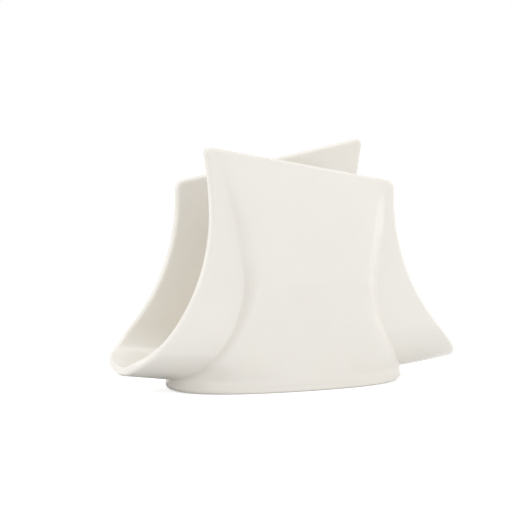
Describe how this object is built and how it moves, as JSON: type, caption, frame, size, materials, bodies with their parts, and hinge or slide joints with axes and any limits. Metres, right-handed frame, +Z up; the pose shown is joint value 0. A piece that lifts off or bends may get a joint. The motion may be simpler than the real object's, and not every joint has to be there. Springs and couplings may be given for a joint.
{
  "type": "napkin holder",
  "caption": "One-piece glazed porcelain napkin holder: a U-shaped channel with flared lips and opposite sloping walls on an oval pedestal foot.",
  "frame": {"origin": "centre of the foot on the table, under the middle of the channel", "axes": "+X along the channel, towards the end where the front wall is low; +Z up; the front wall is on -Y"},
  "size_m": [0.1482, 0.0508, 0.0999],
  "materials": {
    "glaze": "clear glossy glaze over ivory-white porcelain",
    "foot": "clear glaze that thins out down the side, and bare fired porcelain underneath"
  },
  "bodies": {
    "root": {"front_wall": "glaze", "back_wall": "glaze", "trough": "glaze", "left_lip": "glaze", "right_lip": "glaze", "front_belly": "glaze", "back_belly": "glaze", "foot_ring": "foot"}
  },
  "joints": []
}
